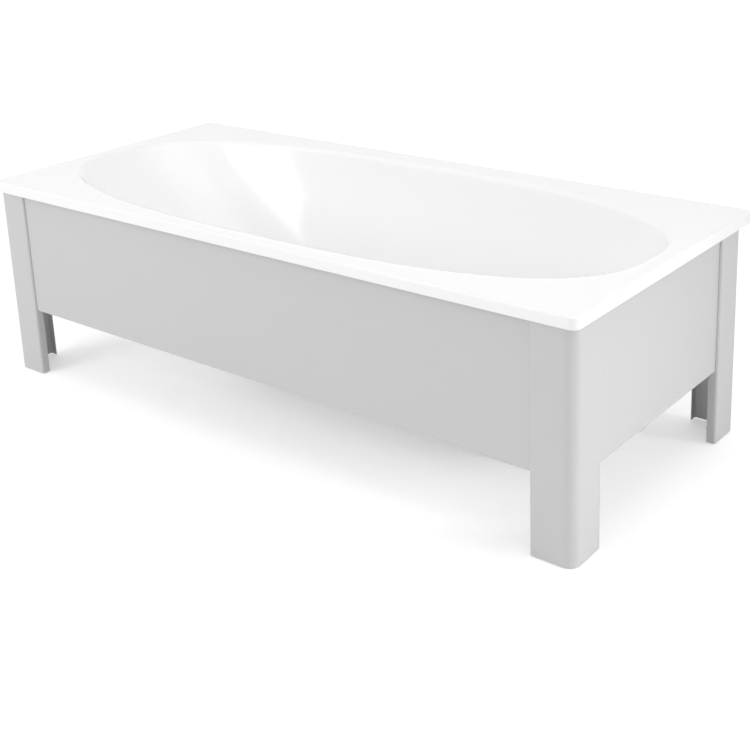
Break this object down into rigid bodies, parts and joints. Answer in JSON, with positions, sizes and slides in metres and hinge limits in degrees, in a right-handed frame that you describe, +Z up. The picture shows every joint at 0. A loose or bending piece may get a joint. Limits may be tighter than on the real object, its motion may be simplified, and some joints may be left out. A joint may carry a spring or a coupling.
{
  "type": "alcove bathtub",
  "caption": "Rectangular enamelled steel bathtub with an oval basin on folded corner legs, with lift-off half-height front and end panels and a pop-up waste.",
  "frame": {"origin": "on the floor, under the middle of the rim", "axes": "+X along the tub to the foot end with the waste, +Y to the wall at the back, +Z up"},
  "size_m": [1.8, 0.8, 0.54],
  "materials": {
    "enamel": "gloss",
    "powder_coat": "satin",
    "galvanised": "satin",
    "zinc_screws": "satin",
    "rubber": "matte",
    "foam": "matte",
    "bitumen": "matte",
    "foot_plastic": "matte",
    "catch_plastic": "matte",
    "chrome": "polished",
    "white_plastic": "satin",
    "grey_plastic": "matte",
    "moving_plastic": "matte",
    "cable_sheath": "satin"
  },
  "bodies": {
    "tub": {"back_rail": "galvanised", "catch_screws": "zinc_screws", "corner_pads": "rubber", "corner_plates": "galvanised", "deck_strips": "foam", "earth_bolt": "zinc_screws", "earth_nut": "zinc_screws", "earth_tab": "galvanised", "foot_brackets": "galvanised", "front_rail": "galvanised", "left_rail": "galvanised", "leg_back_left": "powder_coat", "leg_back_right": "powder_coat", "leg_front_left": "powder_coat", "leg_front_right": "powder_coat", "lever_pin": "zinc_screws", "lock_nuts": "zinc_screws", "magnet_catches": "catch_plastic", "outlet_pipe": "white_plastic", "overflow_body": "grey_plastic", "overflow_gasket": "rubber", "overflow_pipe": "white_plastic", "overflow_ring": "chrome", "overflow_screws": "zinc_screws", "pipe_nuts": "white_plastic", "pipe_washers": "rubber", "pull_cable": "cable_sheath", "rail_screws": "zinc_screws", "right_rail": "galvanised", "sound_pads": "bitumen", "trap_body": "white_plastic", "trap_cap": "white_plastic", "trap_cap_seal": "rubber", "trap_nuts": "white_plastic", "trap_washers": "rubber", "tub_shell": "enamel", "waste_body": "grey_plastic", "waste_bottom_gasket": "rubber", "waste_flange": "chrome", "waste_top_gasket": "rubber"},
    "overflow_handle": {"overflow_knob": "chrome", "overflow_spindle": "moving_plastic"},
    "plug": {"plug_cap": "chrome", "plug_seal": "rubber", "plug_stem": "moving_plastic"},
    "lever": {"lift_lever": "moving_plastic"},
    "front_panel": {"front_panel": "powder_coat"},
    "end_panel": {"end_panel": "powder_coat"},
    "foot_front_left": {"foot_pad_front_left": "foot_plastic", "foot_stud_front_left": "zinc_screws"},
    "foot_front_right": {"foot_pad_front_right": "foot_plastic", "foot_stud_front_right": "zinc_screws"},
    "foot_back_left": {"foot_pad_back_left": "foot_plastic", "foot_stud_back_left": "zinc_screws"},
    "foot_back_right": {"foot_pad_back_right": "foot_plastic", "foot_stud_back_right": "zinc_screws"}
  },
  "joints": [
    {"name": "overflow_knob_turn", "type": "hinge", "parent": "tub", "child": "overflow_handle", "pos_m": [0.8335, -0.015, 0.44], "axis": [-0.9815, 0, 0.1914], "range_deg": [0, 90]},
    {"name": "plug_lift", "type": "slide", "parent": "tub", "child": "plug", "axis": [0, 0, 1], "range_m": [0, 0.01]},
    {"name": "lever_lift", "type": "hinge", "parent": "tub", "child": "lever", "pos_m": [0.586, -0.015, 0.118], "axis": [0, -1, 0], "range_deg": [0, 30]},
    {"name": "front_panel_lift", "type": "slide", "parent": "tub", "child": "front_panel", "axis": [0, 0, 1], "range_m": [0, 0.007]},
    {"name": "end_panel_lift", "type": "slide", "parent": "tub", "child": "end_panel", "axis": [0, 0, 1], "range_m": [0, 0.007]},
    {"name": "foot_front_left_screw_out", "type": "slide", "parent": "tub", "child": "foot_front_left", "axis": [0, 0, -1], "range_m": [0, 0.02]},
    {"name": "foot_front_right_screw_out", "type": "slide", "parent": "tub", "child": "foot_front_right", "axis": [0, 0, -1], "range_m": [0, 0.02]},
    {"name": "foot_back_left_screw_out", "type": "slide", "parent": "tub", "child": "foot_back_left", "axis": [0, 0, -1], "range_m": [0, 0.02]},
    {"name": "foot_back_right_screw_out", "type": "slide", "parent": "tub", "child": "foot_back_right", "axis": [0, 0, -1], "range_m": [0, 0.02]}
  ],
  "couplings": [
    {"joint": "overflow_knob_turn", "follows": "plug_lift", "rad_per_m": 157.08},
    {"joint": "lever_lift", "follows": "plug_lift", "rad_per_m": 52.36}
  ]
}
